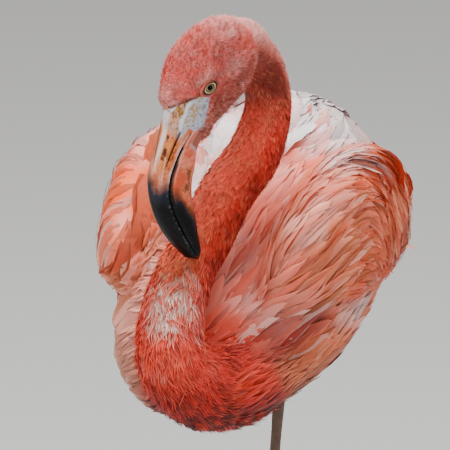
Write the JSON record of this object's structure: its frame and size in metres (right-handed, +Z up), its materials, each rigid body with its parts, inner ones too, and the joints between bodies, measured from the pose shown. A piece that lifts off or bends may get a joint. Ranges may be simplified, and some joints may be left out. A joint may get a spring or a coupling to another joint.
{
  "type": "flamingo model",
  "caption": "Life-size adult flamingo standing on one leg, neck bent in an S and bill tip at its lower neck to preen.",
  "frame": {"origin": "middle of the standing (left) foot's sole, at floor level, under the bird's centre of mass", "axes": "+Z up; the breast faces -Y; the bird's left side is +X"},
  "size_m": [0.2218, 0.5433, 0.8934],
  "materials": {
    "body_plumage": "soft matt feathers",
    "wing_plumage": "matt feathers with a slight sheen",
    "neck_plumage": "fine short feathers",
    "head_plumage": "fine short feathers",
    "flight_feathers": "black feathers",
    "bill_horn": "smooth horn, black at the tip",
    "eye_iris": "wet gloss",
    "leg_skin": "scaly skin"
  },
  "bodies": {
    "root": {"trunk": "body_plumage", "tail": "wing_plumage", "wing_left": "wing_plumage", "wing_right": "wing_plumage", "wing_tip_left": "flight_feathers", "wing_tip_right": "flight_feathers", "neck_base": "neck_plumage", "neck_bend": "neck_plumage", "neck_middle": "neck_plumage", "neck_upper": "neck_plumage", "neck_arch": "neck_plumage", "head": "head_plumage", "eye_left": "eye_iris", "eye_right": "eye_iris", "bill_upper": "bill_horn", "bill_lower": "bill_horn", "leg_left_shank": "leg_skin", "leg_left_tarsus": "leg_skin", "leg_right_shank": "leg_skin", "leg_right_tarsus": "leg_skin", "foot_left": "leg_skin", "foot_right": "leg_skin"}
  },
  "joints": []
}
